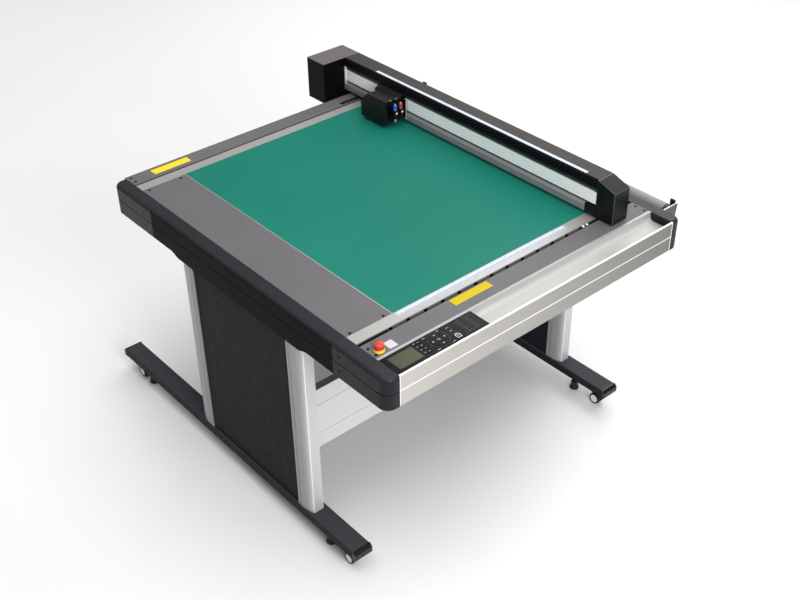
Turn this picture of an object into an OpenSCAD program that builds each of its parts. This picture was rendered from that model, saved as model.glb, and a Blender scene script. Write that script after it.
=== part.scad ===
// Flatbed cutting plotter on a wheeled stand.
// Machine axes: +X is the operator's right, +Y points away from the operator, +Z is up.
// Drawing origin: inner edge of the left side cover (x), front edge of the cutting mat (y), floor (z).
// The whole model is then shifted so that its own origin is the middle of its footprint on the floor.

/* [Table] */
// Height of the table's top plates above the floor
table_z = 828; // [790:1:880]
// Clear width between the two side covers
table_w = 1062; // [1062:1:1100]
// Depth of the table core, from the mat's front edge to its rear edge
mat_d = 1000; // [1000:1:1000]
// Height of the table's skirt
skirt_h = 98; // [90:1:104]
// Width of each side cover
side_w = 44; // [40:1:48]
// Plan radius of the table's outer corners
corner_r = 30; // [20:1:36]
// Radius along the top outer edge of the side covers
edge_r = 12; // [4:1:16]
// Depth of the storage tray behind the front fascia
tray_depth = 28; // [20:1:34]

/* [Mat] */
// Left edge of the mat, measured from the left side cover
mat_x0 = 156; // [140:1:170]
// Width of the mat
mat_w = 774; // [700:1:790]
// Thickness of the mat above its deck
mat_t = 2.8; // [2:0.2:3]

/* [Gantry] */
// Left face of the gantry bar in its parked position
bar_x = 908; // [880:1:908]
// Width of the gantry bar
bar_w = 66; // [60:1:66]
// Height of the gantry bar's top face above the floor
bar_top = 956.4; // [950:0.2:965]
// Underside of the gantry bar
bar_bottom = 838; // [837:1:840]

/* [Carriage] */
// Front end (towards the operator) of the carriage cover
car_y = 811; // [780:1:830]
// Distance between the two tool holders
tool_pitch = 24.4; // [23:0.1:26]
// Clearance of the tool tip above the mat when it is up
tool_lift = 15; // [15:0.5:17]

/* [Stand] */
// Height of the top of the feet
foot_top = 92; // [90:1:98]
// Thickness of the feet
foot_t = 31; // [24:1:33]
// Width of the feet
foot_w = 64; // [60:1:66]
// Height of the cross beam
beam_h = 220; // [160:1:240]
// Caster wheel radius
wheel_r = 20; // [18:1:21]

/* [Controls] */
// Diameter of the stop button's head
stop_d = 28; // [24:1:32]
// Travel left under each key
key_travel = 1; // [0.6:0.1:1.2]

/* [Hidden] */
T = table_z;
zb = T - skirt_h;                 // underside of the skirt
xr = table_w;                     // inner edge of the right side cover
xm = xr / 2;
yf = -208;                        // front face
yb = 1108;                        // rear face
ytl = -126;                       // tray's inner lip
groove_z = T - 50;
zbelly = zb - 11;                 // underside above the legs
roll_x = xr + side_w + 39;        // roll pipe axis
roll_z = T - 32;
roll_r = 22;
x_lo = -side_w;
x_hi = xr + side_w + 70;
y_lo = yf;
y_hi = 1252.5;
cx = (x_lo + x_hi) / 2;
cy = (y_lo + y_hi) / 2;
fx = -12;                         // centre line of the left leg
post_y0 = 157; post_y1 = 222;     // front post
post_y2 = 684; post_y3 = 749;     // rear post
fzb = foot_top - foot_t;          // underside of the feet
swivel_y = [18, 1188];
trail = 14;
pad_y = [105, 1120];
tool_x = 856;
tool_y = 797;
eps = 0.01;

// ---------- helpers ----------
module M() { translate([-cx, -cy, 0]) children(); }
module box(a, b) { translate(a) cube([b[0] - a[0], b[1] - a[1], b[2] - a[2]]); }
// 2D shape in (y, z) pushed along +X from x0 to x1
module alongX(x0, x1) { translate([x0, 0, 0]) rotate([90, 0, 90]) linear_extrude(x1 - x0) children(); }
// 2D shape in (x, z) pushed along +Y from y0 to y1
module alongY(y0, y1) { translate([0, y1, 0]) rotate([90, 0, 0]) linear_extrude(y1 - y0) children(); }
module cyl(x, y, z0, z1, r) { translate([x, y, z0]) cylinder(h = z1 - z0, r = r, $fn = 64); }
module cylX(x0, x1, y, z, r) { translate([x0, y, z]) rotate([0, 90, 0]) cylinder(h = x1 - x0, r = r, $fn = 64); }
module cylY(x, y0, y1, z, r) { translate([x, y0, z]) rotate([-90, 0, 0]) cylinder(h = y1 - y0, r = r, $fn = 64); }
module mirrorX() { children(); translate([xr, 0, 0]) mirror([1, 0, 0]) children(); }
module flipX() { translate([xr, 0, 0]) mirror([1, 0, 0]) children(); }
// rounded rectangle made of circles and squares only
module rrect(w, h, r) {
  union() {
    translate([-w / 2 + r, -h / 2]) square([w - 2 * r, h]);
    translate([-w / 2, -h / 2 + r]) square([w, h - 2 * r]);
    for (i = [-1, 1], j = [-1, 1]) translate([i * (w / 2 - r), j * (h / 2 - r)]) circle(r = r, $fn = 32);
  }
}

// ---------- table skirt ----------
// Cross-section of the side cover: outer face at 0, inner face at w, groove half way up
module skirt_section(w) {
  difference() {
    union() {
      translate([0, zb]) square([w, skirt_h - edge_r]);
      translate([edge_r, zb]) square([w - edge_r, skirt_h]);
      translate([edge_r, T - edge_r]) circle(r = edge_r, $fn = 64);
    }
    translate([-1, groove_z - 1.2]) square([2.6, 2.4]);
  }
}
module side_screw_pockets(y) {
  for (z = [T - 27, T - 73]) cylX(-side_w - 1, -side_w + 2.6, y, z, 6);
}
module corner_front() {
  difference() {
    union() {
      alongY(yf + corner_r, 5) translate([-side_w, 0]) skirt_section(side_w);
      translate([-side_w + corner_r, yf + corner_r, 0]) rotate([0, 0, 180]) rotate_extrude(angle = 90, $fn = 96)
        translate([corner_r, 0]) mirror([1, 0]) skirt_section(corner_r);
      alongX(-side_w + corner_r, 0) translate([yf, 0]) skirt_section(corner_r);
    }
    side_screw_pockets(-22);
    box([-side_w - 1, yf + 32, groove_z - 4], [-side_w + 3, yf + 42, groove_z + 1]);
  }
}
module corner_rear() {
  difference() {
    union() {
      alongY(886, yb - corner_r) translate([-side_w, 0]) skirt_section(side_w);
      translate([-side_w + corner_r, yb - corner_r, 0]) rotate([0, 0, 90]) rotate_extrude(angle = 90, $fn = 96)
        translate([corner_r, 0]) mirror([1, 0]) skirt_section(corner_r);
      alongX(-side_w + corner_r, 0) translate([yb, 0]) mirror([1, 0]) skirt_section(corner_r);
    }
    side_screw_pockets(927);
  }
}
module corner_caps() { color([0.16, 0.16, 0.18]) M() mirrorX() { corner_front(); corner_rear(); } }
module side_panel() {
  alongY(5, 886) translate([-side_w, 0]) skirt_section(side_w);
  alongX(-side_w, 0) polygon([[124, zb], [post_y0 - 2, zbelly], [post_y3 + 2, zbelly], [784, zb]]);
}
module side_panels() { color([0.15, 0.15, 0.17]) M() mirrorX() side_panel(); }

// ---------- table ----------
module bed_body() {
  color([0.35, 0.35, 0.37]) M() difference() {
    union() {
      box([0, -40, zb + 3], [xr, 1038, T - 2]);
      mirrorX() box([0, post_y0, zbelly], [18, post_y3, zb + 3]);
    }
    // two rows of cells leave walls and ribs under the deck
    for (i = [0:3], j = [0:3])
      box([5 + i * 264, -36 + j * 268.5, zb + 6], [5 + i * 264 + 260, -36 + j * 268.5 + 264.5, T - 14]);
  }
}
module cutting_mat() {
  color([0.13, 0.5, 0.43]) M() translate([mat_x0, 0, T - 2]) cube([mat_w, mat_d, mat_t]);
}
module plate_pockets(pts) { for (p = pts) cyl(p[0], p[1], T - 1.2, T + 1, 5.2); }
module platform_plates() {
  color([0.45, 0.45, 0.46]) M() difference() {
    union() {
      box([0, 0, T - 2], [mat_x0 - 3, mat_d, T]);
      box([mat_x0 + mat_w, 0, T - 2], [xr, mat_d, T]);
    }
    plate_pockets(platform_screws());
  }
}
module front_plate() {
  color([0.45, 0.45, 0.46]) M() difference() {
    box([0, -118, T - 3], [xr, -53, T]);
    plate_pockets(front_screws());
    cyl(28, -97, T - 4, T + 1, 9);
  }
}
module rear_plate() {
  color([0.4, 0.4, 0.41]) M() difference() {
    box([0, 1046, T - 3], [xr, 1104, T]);
    plate_pockets(rear_screws());
  }
}
// light aluminium strips along the front and rear edges of the mat, and the mat's left border
module edge_strips() {
  color([0.82, 0.82, 0.83]) M() {
    box([0, -40, T - 2], [xr, 0, T + 0.2]);
    box([0, mat_d, T - 2], [xr, 1038, T + 0.2]);
    box([mat_x0 - 3, 0, T - 2], [mat_x0, mat_d, T + 0.6]);
  }
}
module trough(dy = 0) {
  // open-topped trough between the fascia and the inner lip
  y0 = yf + 5; y1 = ytl; z0 = T - tray_depth; ra = 20; rb = 12;
  union() {
    translate([y0, z0 + ra]) square([y1 - y0, tray_depth - ra + 1]);
    translate([y0 + ra, z0]) square([y1 - y0 - ra - rb, tray_depth + 1]);
    translate([y0 + ra, z0 + ra]) circle(r = ra, $fn = 64);
    translate([y1 - rb, z0 + rb]) circle(r = rb, $fn = 64);
    translate([y1 - rb - 4, z0 + rb]) square([rb + 4, tray_depth - rb + 1]);
  }
}
module front_extrusion() {
  color([0.8, 0.79, 0.77]) M() difference() {
    alongX(0, xr) difference() {
      union() {
        translate([yf + 1, zb]) square([ytl + 8 - yf - 1, skirt_h]);
        translate([ytl + 8, zb]) square([65, skirt_h - 3]);
        translate([-53, groove_z - 14]) square([13, 4]);
      }
      trough();
      // groove with a bright bead half way up the fascia
      translate([yf, groove_z - 2.2]) square([2.4, 1.4]);
      translate([yf, groove_z + 0.8]) square([2.4, 1.4]);
      // hollow chambers
      translate([yf + 5, zb + 4]) square([74, 36]);
      translate([yf + 5, groove_z - 5]) square([74, 18]);
      translate([ytl + 8 + 1, zb + 4]) square([60, skirt_h - 12]);
    }
    cyl(28, -97, T - 30, T + 1, 9);
  }
}
module rear_extrusion() {
  color([0.3, 0.3, 0.32]) M() alongX(0, xr) difference() {
    union() {
      translate([1046, zb]) square([yb - 1046, skirt_h - 3]);
      translate([1104, zb]) square([yb - 1 - 1104, skirt_h]);
      translate([1038, groove_z - 14]) square([8, 4]);
    }
    translate([1050, zb + 4]) square([50, skirt_h - 12]);
    translate([yb - 2, groove_z - 1.2]) square([3, 2.4]);
  }
}

// ---------- screws ----------
function front_screws() = [[10, -74], [10, -106], [xr - 10, -75], [xr - 10, -107]];
function rear_screws() = [[13, 1064], [13, 1092], [xr - 13, 1064], [xr - 13, 1092]];
function platform_screws() = [[18, 8], [131, 8], [18, 988], [131, 988],
  [xr - 18, 8], [xr - 110, 8], [xr - 18, 988], [xr - 110, 988]];
module top_screw(p) {
  translate([p[0], p[1], T - 1.2]) difference() {
    cylinder(h = 1, r = 3.9, $fn = 48);
    translate([0, 0, 0.3]) cylinder(h = 2, r = 1.9, $fn = 6);
  }
}
module side_screw(y, z) {
  translate([-side_w + 2.6, y, z]) rotate([0, -90, 0]) difference() {
    cylinder(h = 2.3, r = 5, $fn = 48);
    translate([0, 0, 1]) cylinder(h = 3, r = 2.2, $fn = 6);
  }
}
module screws() {
  color([0.1, 0.1, 0.1]) M() {
    for (p = front_screws()) top_screw(p);
    for (p = rear_screws()) top_screw(p);
    for (p = platform_screws()) top_screw(p);
    mirrorX() for (y = [-22, 927], z = [T - 27, T - 73]) side_screw(y, z);
  }
}

// ---------- control panel ----------
panel_x1 = 316;
menu_y = [-136, -152, -167, -182];
pad_c = [172, -161.5];
module menu_hole(g) { rr = 1.5; rrect(13 + 2 * g, 9 + 2 * g, rr); }
module quadrant2d(r0, r1, gap) {
  difference() {
    intersection() { circle(r = r1, $fn = 64); rotate(45) translate([gap, gap]) square(r1 + 4); }
    circle(r = r0, $fn = 64);
  }
}
module control_panel() {
  color([0.04, 0.04, 0.05]) M() difference() {
    // the panel covers the left end of the trough, its top 1.5 below the fascia's edge
    union() {
      box([0, yf + 5, T - 8], [panel_x1, ytl, T - 1.5]);
      box([0, yf + 9, T - 16], [panel_x1, ytl, T - 8]);
    }
    // cavity under the key plate
    box([104, -196, T - 14], [236, -130, T - 3.5]);
    // holes
    for (y = menu_y) translate([122, y, T - 4]) linear_extrude(4) menu_hole(0.3);
    translate([pad_c[0], pad_c[1], T - 4]) linear_extrude(4) circle(r = 27.5, $fn = 96);
    translate([220, -184, T - 4]) linear_extrude(4) rrect(17.6, 18.6, 2);
    box([21, -188, T - 3.5], [98, -137, T]);
  }
}
module lcd_window() { color([0.45, 0.46, 0.36]) M() box([21, -188, T - 3.5], [98, -137, T - 1.7]); }
module key_body(flange = 1.2) {
  // cap through the plate and a retaining flange under it
  translate([0, 0, T - 6]) linear_extrude(5.6) children(0);
  translate([0, 0, T - 6]) linear_extrude(flange) children(1);
}
module key_menu(i) {
  color([0.09, 0.09, 0.1]) M() translate([122, menu_y[i - 1], 0]) key_body() { rrect(13, 9, 1.4); rrect(15.4, 10.6, 1.4); }
}
module key_menu_1() { key_menu(1); }
module key_menu_2() { key_menu(2); }
module key_menu_3() { key_menu(3); }
module key_menu_4() { key_menu(4); }
module arrow_key(a) {
  color([0.09, 0.09, 0.1]) M() translate([pad_c[0], pad_c[1], 0]) rotate([0, 0, a]) key_body() {
    quadrant2d(10.5, 27, 0.5);
    quadrant2d(10.5, 28.6, 0.5);
  }
}
module key_up() { arrow_key(0); }
module key_left() { arrow_key(90); }
module key_down() { arrow_key(180); }
module key_right() { arrow_key(270); }
module key_enter() { color([0.09, 0.09, 0.1]) M() translate([pad_c[0], pad_c[1], 0]) key_body() { circle(r = 9.8, $fn = 64); circle(r = 9.8, $fn = 64); } }
module key_start() { color([0.1, 0.13, 0.2]) M() translate([220, -184, 0]) key_body() { rrect(17, 18, 1.8); rrect(19, 20, 1.8); } }

// ---------- stop button ----------
module estop_collar() {
  color([0.95, 0.85, 0.1]) M() difference() {
    union() {
      cyl(28, -97, T, T + 3, stop_d / 2 + 0.6);
      cyl(28, -97, T, T + 11, stop_d / 2 - 2.4);
      cyl(28, -97, T - 26, T, 8.9);
    }
    cyl(28, -97, T - 28, T + 12, 4.05);
  }
}
module estop_stem() {
  color([0.3, 0.3, 0.3]) M() {
    cyl(28, -97, T - 20, T + 15.7, 4);
    cyl(28, -97, T + 15.7, T + 19.7, 3);
  }
}
module estop_head() {
  color([0.85, 0.12, 0.1]) M() difference() {
    union() {
      cyl(28, -97, T + 7.5, T + 21.5, stop_d / 2);
      cyl(28, -97, T + 21, T + 23, stop_d / 2 - 1.6);
    }
    cyl(28, -97, T + 6, T + 16, stop_d / 2 - 2);
    cyl(28, -97, T + 15, T + 20, 3.05);
  }
}

// ---------- stand ----------
module post2d(c) {
  // nose towards -Y; c is the centre line
  n = 12;
  right = [for (i = [0:n]) [c + 14 + 13.5 * sin(90 * i / n), post_y0 + 46 * (1 - cos(90 * i / n))]];
  left = [for (i = [n:-1:0]) [c - 14 - 13.5 * sin(90 * i / n), post_y0 + 46 * (1 - cos(90 * i / n))]];
  difference() {
    polygon(concat([[c - 14, post_y0]], right, [[c + 27.5, post_y1], [c - 27.5, post_y1]], left));
    for (s = [-1, 1], y = [post_y1 - 10, post_y1 - 17]) translate([c + s * 27.5 - 1.4, y]) square([2.8, 1.8]);
    translate([c - 22, post_y0 + 30]) square([44, 30]);
    translate([c - 10, post_y0 + 4]) square([20, 22]);
  }
}
module leg_posts() {
  color([0.78, 0.78, 0.8]) M() mirrorX() {
    translate([0, 0, foot_top]) linear_extrude(zbelly - foot_top) post2d(fx);
    translate([0, post_y0 + post_y3, foot_top]) mirror([0, 1, 0]) linear_extrude(zbelly - foot_top) post2d(fx);
  }
}
module leg_panels() {
  color([0.13, 0.13, 0.15]) M() mirrorX() difference() {
    box([fx - 23, post_y1, foot_top], [fx + 23, post_y2, zbelly]);
    box([fx - 21, post_y1 + 2, foot_top + 2], [fx + 21, post_y2 - 2, zbelly - 2]);
  }
}
beam_y0 = 240; beam_y1 = 266;
beam_z0 = 246;
module crossbar() {
  color([0.78, 0.78, 0.8]) M() alongX(fx + 23, xr - fx - 23) difference() {
    translate([beam_y0, beam_z0]) square([beam_y1 - beam_y0, beam_h]);
    for (z = [beam_z0 + 3, beam_z0 + 54.5, beam_z0 + 164.5])
      translate([beam_y0 + 3, z]) square([beam_y1 - beam_y0 - 6, z < beam_z0 + 10 ? 48.5 : (z < beam_z0 + 100 ? 107 : beam_h - 167.5)]);
    for (z = [beam_z0 + 52, beam_z0 + 161]) {
      translate([beam_y0 - 1, z]) square([2.6, 2.2]);
      translate([beam_y1 - 1.6, z]) square([2.6, 2.2]);
    }
  }
}
module foot_beam() {
  difference() {
    alongY(-38, 1239) difference() {
      translate([fx, fzb + foot_t / 2]) rrect(foot_w, foot_t, 4);
      translate([fx, fzb + foot_t / 2]) rrect(foot_w - 6, foot_t - 6, 1.5);
    }
    for (y = swivel_y) cyl(fx, y, fzb - 1, fzb + 5, 5.05);
    for (y = pad_y) cyl(fx, y, fzb - 1, fzb + 5, 4.05);
  }
  // jam nuts under the foot
  for (y = pad_y) difference() {
    translate([fx, y, fzb - 14]) cylinder(h = 15, r = 12, $fn = 6);
    cyl(fx, y, fzb - 15, fzb - 0.4, 7.4);
    cyl(fx, y, fzb - 1, fzb + 2, 4.05);
  }
}
module foot_left() { color([0.16, 0.16, 0.18]) M() foot_beam(); }
module foot_right() { color([0.16, 0.16, 0.18]) M() flipX() foot_beam(); }
module end_cap() {
  // bevelled plastic plug at the front end of a foot
  alongX(fx - foot_w / 2, fx + foot_w / 2)
    polygon([[-38, fzb], [-38, foot_top], [-43, foot_top], [-51.5, foot_top - 9], [-51.5, fzb + 3], [-49, fzb]]);
}
module foot_end_caps() {
  color([0.1, 0.1, 0.11]) M() mirrorX() {
    end_cap();
    translate([0, 1201, 0]) mirror([0, 1, 0]) end_cap();
  }
}
module leveller(y) {
  cyl(fx, y, 0, 9, 16);
  translate([fx, y, 9]) cylinder(h = 7, r1 = 16, r2 = 12, $fn = 64);
  translate([fx, y, 16]) cylinder(h = 15, r = 13, $fn = 6);
  cyl(fx, y, 31, fzb - 16, 6.8);
  cyl(fx, y, fzb - 16, fzb + 5, 4);
}
module leveller_front_left() { color([0.1, 0.1, 0.1]) M() leveller(pad_y[0]); }
module leveller_rear_left() { color([0.1, 0.1, 0.1]) M() leveller(pad_y[1]); }
module leveller_front_right() { color([0.1, 0.1, 0.1]) M() flipX() leveller(pad_y[0]); }
module leveller_rear_right() { color([0.1, 0.1, 0.1]) M() flipX() leveller(pad_y[1]); }

module caster(y) {
  ya = y - trail;   // axle
  difference() {
    union() {
      cyl(fx, y, fzb - 0.3, fzb + 16, 5);
      cyl(fx, y, fzb - 12, fzb - 0.3, 12.5);
      alongX(fx - 3.5, fx + 3.5) union() {
        translate([ya, wheel_r]) circle(r = 9, $fn = 48);
        polygon([[ya - 9, wheel_r], [ya - 9, wheel_r + 12], [y - 12, fzb - 11], [y + 12, fzb - 11], [y + 12, wheel_r + 22], [ya + 9, wheel_r]]);
      }
      // hood over the wheels
      alongX(fx - 11, fx + 11) polygon([[ya - 10, wheel_r * 2 + 1.5], [ya - 4, wheel_r * 2 + 7], [y + 10, wheel_r * 2 + 7], [y + 13, wheel_r * 2 + 1.5]]);
    }
    cylX(fx - 20, fx + 20, ya, wheel_r, 4.05);
  }
}
module wheels(y) {
  ya = y - trail;
  difference() {
    union() {
      for (s = [-1, 1]) cylX(s > 0 ? fx + 4 : fx - 15, s > 0 ? fx + 15 : fx - 4, ya, wheel_r, wheel_r);
      cylX(fx - 5, fx + 5, ya, wheel_r, 4);
    }
    // dished outer faces
    cylX(fx + 13.8, fx + 16, ya, wheel_r, 14.5);
    cylX(fx - 16, fx - 13.8, ya, wheel_r, 14.5);
  }
}
module caster_front_left() { color([0.1, 0.1, 0.11]) M() caster(swivel_y[0]); }
module caster_rear_left() { color([0.1, 0.1, 0.11]) M() caster(swivel_y[1]); }
module caster_front_right() { color([0.1, 0.1, 0.11]) M() flipX() caster(swivel_y[0]); }
module caster_rear_right() { color([0.1, 0.1, 0.11]) M() flipX() caster(swivel_y[1]); }
module wheels_front_left() { color([0.2, 0.2, 0.2]) M() wheels(swivel_y[0]); }
module wheels_rear_left() { color([0.2, 0.2, 0.2]) M() wheels(swivel_y[1]); }
module wheels_front_right() { color([0.2, 0.2, 0.2]) M() flipX() wheels(swivel_y[0]); }
module wheels_rear_right() { color([0.2, 0.2, 0.2]) M() flipX() wheels(swivel_y[1]); }

// ---------- roll holder on the right side ----------
rb_x = xr + side_w;
roll_ends = [-136.5, 1003];
module roll_bracket(y, s) {
  // plate square to the roll, with a flange against the side cover; s = side the flange is on
  alongY(y, y + 4) polygon([[rb_x, T - 9], [rb_x + 66, T - 9], [rb_x + 70, T - 13], [rb_x + 64, T - 52], [rb_x + 30, T - 90], [rb_x, T - 90]]);
  y0 = s > 0 ? y + 4 : y - 22;
  box([rb_x, y0, T - 90], [rb_x + 3, y0 + 22, T - 14]);
}
module roll_brackets() {
  color([0.2, 0.16, 0.13]) M() { roll_bracket(-138, 1); roll_bracket(1000, -1); }
}
module saddle(y0, y1) {
  alongY(y0, y1) difference() {
    union() {
      translate([roll_x, roll_z]) circle(r = 24, $fn = 96);
      translate([roll_x + 18.3, roll_z]) square([5.7, 33]);
      translate([roll_x - 24, roll_z - 8]) square([5.7, 14]);
    }
    translate([roll_x, roll_z]) circle(r = 18.3, $fn = 96);
    translate([roll_x - 60, roll_z + 6]) square([60 + 18.3, 40]);
    translate([roll_x - 60, roll_z + 6]) square([37, 40]);
  }
}
module roll_saddles() {
  color([0.07, 0.07, 0.07]) M() { saddle(-134, -117.5); saddle(984, 1000); }
}
module roll_pipe() {
  color([0.86, 0.86, 0.84]) M() difference() {
    union() {
      cylY(roll_x, -116.5, 983, roll_z, roll_r);
      cylY(roll_x, -133, -116.5, roll_z, 18);
      cylY(roll_x, 983, 999, roll_z, 18);
    }
    cylY(roll_x, -110, 976.5, roll_z, roll_r - 2);
    cylY(roll_x, -134, -124, roll_z, 14);
    cylY(roll_x, 990, 1001, roll_z, 14);
  }
}

// ---------- gantry ----------
bx = bar_x;
module gantry_beam() {
  color([0.62, 0.62, 0.63]) M() {
    alongY(-38, 1128) difference() {
      translate([bx + 22, bar_bottom]) square([bar_w - 25, bar_top - 3.4 - bar_bottom]);
      translate([bx + 26, bar_bottom + 4]) square([bar_w - 33, 50]);
      translate([bx + 26, bar_bottom + 58]) square([bar_w - 33, bar_top - 3.4 - bar_bottom - 62]);
    }
    // lower front lip
    alongY(0, 1128) polygon([[bx + 22, bar_bottom], [bx - 2, bar_bottom], [bx - 3, bar_bottom + 3], [bx - 3, bar_bottom + 20], [bx + 2, bar_bottom + 28], [bx + 22, bar_bottom + 28]]);
  }
}
module gantry_top_cover() {
  color([0.2, 0.18, 0.18]) M() alongY(-38, 1128) polygon([
    [bx, bar_top - 30], [bx, bar_top - 5], [bx + 5, bar_top], [bx + 7, bar_top], [bx + 7, bar_top - 0.6],
    [bx + 19, bar_top - 0.6], [bx + 19, bar_top], [bx + bar_w, bar_top],
    [bx + bar_w, bar_bottom], [bx + bar_w - 3, bar_bottom], [bx + bar_w - 3, bar_top - 3.4],
    [bx + 6, bar_top - 3.4], [bx + 3, bar_top - 6.4], [bx + 3, bar_top - 30]]);
}
rail_z0 = bar_bottom + 36;
module gantry_rail() {
  color([0.72, 0.76, 0.75]) M() alongY(-38, 1128) union() {
    translate([bx + 8, bar_bottom + 28]) square([14, 59.6]);
    translate([bx + 1, rail_z0]) square([7, 38]);
    translate([bx + 3, rail_z0 + 41.5]) square([5, 3]);
    translate([bx + 3, rail_z0 + 48.4]) square([5, 3]);
  }
}
module gantry_cover_rear() {
  color([0.15, 0.15, 0.16]) M() difference() {
    box([bx - 93, 1128, T - 20], [bx + bar_w, 1221, bar_top]);
    box([bx - 90, 1131, T - 17], [bx + bar_w - 3, 1218, bar_top - 3]);
  }
}
module gantry_cover_front() {
  color([0.13, 0.13, 0.15]) M() difference() {
    alongX(bx, bx + bar_w) polygon([[-38, T + 4], [-38, bar_top], [-41, bar_top], [-104.7, bar_top - 20.4], [-104.7, T + 4]]);
    alongX(bx + 2.5, bx + bar_w - 2.5) polygon([[-37, T + 3], [-37, bar_top - 2.5], [-41, bar_top - 2.5], [-102.2, bar_top - 22.4], [-102.2, T + 3]]);
  }
}
module gantry_arms() {
  color([0.12, 0.12, 0.13]) M() {
    // front arm: block on the beam's end, plate down through the front slot, dark filler under the rail
    difference() {
      union() {
        box([bx + 6, -50, T - 45], [bx + 58, -43, bar_bottom + 80]);
        box([bx - 66, -50, T - 45], [bx + 6, -43, T - 1]);
        box([bx + 24, -43, bar_bottom + 4], [bx + 58, -38, bar_bottom + 80]);
      }
    }
    // bottom filler of the front end, in line with the lip
    box([bx - 3, -38, bar_bottom], [bx + 22, 0, bar_bottom + 28]);
    // rear arm
    box([bx + 6, 1040, T - 45], [bx + 58, 1044, bar_bottom]);
  }
}

// ---------- carriage ----------
module carriage_plate() {
  color([0.75, 0.75, 0.72]) M() {
    box([bx - 8, 793, bar_bottom + 6], [bx - 4, 930, bar_bottom + 84]);
    // tongues in the rail's two grooves
    box([bx - 4, 800, bar_bottom + 30], [bx + 6, 925, bar_bottom + 34]);
    box([bx - 4, 800, rail_z0 + 45.2], [bx + 6, 925, rail_z0 + 47.6]);
    // tool bracket with its two posts
    box([tool_x - 18, 804, bar_bottom + 18], [bx - 8, 809, bar_bottom + 74]);
    for (i = [0, 1]) cyl(tool_x - 12 + i * tool_pitch, 806.5, bar_bottom + 74, bar_bottom + 91, 2.3);
  }
}
car_z0 = T + 12.6;
car_z1 = T + 90;
module carriage_shape(o) {
  xe = bx - 8 + (o > 0 ? 1 : 0);
  intersection() {
    alongY(car_y - 50, car_y + 200) polygon([[xe, car_z0 + o], [bx - 90 + o, car_z0 + o], [bx - 90 + o, car_z1 - 20 - o * 0.5], [bx - 74 + o * 0.6, car_z1 - o], [xe, car_z1 - o]]);
    alongX(bx - 120, bx + 20) polygon([[car_y + o, car_z0 + o], [car_y + 6 + o, car_z1 - o], [car_y + 103 - o * 0.6, car_z1 - o], [car_y + 119 - o, car_z1 - 20 - o * 0.5], [car_y + 119 - o, car_z0 + o]]);
  }
}
module carriage_cover() {
  color([0.07, 0.07, 0.08]) M() difference() {
    carriage_shape(0);
    carriage_shape(2.2);
    // shadow line round the lower part of the cover
    difference() {
      box([bx - 95, car_y - 5, car_z0 + 17], [bx - 9, car_y + 125, car_z0 + 18.2]);
      box([bx - 89, car_y + 2.6, car_z0 + 16], [bx, car_y + 118, car_z0 + 19]);
    }
  }
}
module tool_holder(i) {
  x = tool_x + i * tool_pitch;
  difference() {
    union() {
      box([x - 8, tool_y - 8, T + 40], [x + 8, 803.4, T + 63]);
      cyl(x, tool_y, T + 32, T + 40, 6.5);
    }
    cyl(x, tool_y, T + 54, T + 64, 2.05);
    cyl(x, tool_y, T + 31, T + 52, i == 0 ? 4.05 : 4);
  }
}
module tool_holder_a() { color([0.1, 0.1, 0.1]) M() tool_holder(0); }
module tool_holder_b() { color([0.1, 0.1, 0.1]) M() tool_holder(1); }
module tool_knob(i) {
  x = tool_x + i * tool_pitch;
  difference() {
    union() {
      cyl(x, tool_y, T + 63.3, T + 84, 6.2);
      cyl(x, tool_y, T + 84, T + 86, 5.2);
      cyl(x, tool_y, T + 55, T + 64, 2);
    }
    for (a = [0:45:315]) translate([x, tool_y, T + 66]) rotate([0, 0, a]) translate([6.8, 0, 0]) cylinder(h = 15, r = 1.2, $fn = 24);
  }
}
module tool_knob_a() { color([0.1, 0.35, 0.85]) M() tool_knob(0); }
module tool_knob_b() { color([0.85, 0.15, 0.12]) M() tool_knob(1); }
module cutter_a() {
  color([0.8, 0.8, 0.8]) M() {
    cyl(tool_x, tool_y, T + 25, T + 52, 4);
    translate([tool_x, tool_y, T + 19]) cylinder(h = 6, r1 = 1.6, r2 = 3.4, $fn = 48);
    translate([tool_x, tool_y, T + 0.8 + tool_lift]) cylinder(h = 18.2 - tool_lift, r1 = 0.4, r2 = 1.0, $fn = 32);
  }
}

foot_left();
foot_right();
foot_end_caps();
leg_posts();
leg_panels();
crossbar();
bed_body();
cutting_mat();
platform_plates();
front_plate();
rear_plate();
edge_strips();
front_extrusion();
rear_extrusion();
side_panels();
corner_caps();
control_panel();
lcd_window();
estop_collar();
estop_stem();
estop_head();
screws();
roll_brackets();
roll_saddles();
roll_pipe();
key_menu_1();
key_menu_2();
key_menu_3();
key_menu_4();
key_up();
key_right();
key_down();
key_left();
key_enter();
key_start();
gantry_beam();
gantry_top_cover();
gantry_rail();
gantry_cover_rear();
gantry_cover_front();
gantry_arms();
carriage_plate();
carriage_cover();
tool_holder_a();
tool_holder_b();
tool_knob_a();
tool_knob_b();
cutter_a();
caster_front_left();
caster_front_right();
caster_rear_left();
caster_rear_right();
wheels_front_left();
wheels_front_right();
wheels_rear_left();
wheels_rear_right();
leveller_front_left();
leveller_front_right();
leveller_rear_left();
leveller_rear_right();
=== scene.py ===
import bpy, bmesh, math
from mathutils import Vector, Matrix


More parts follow.
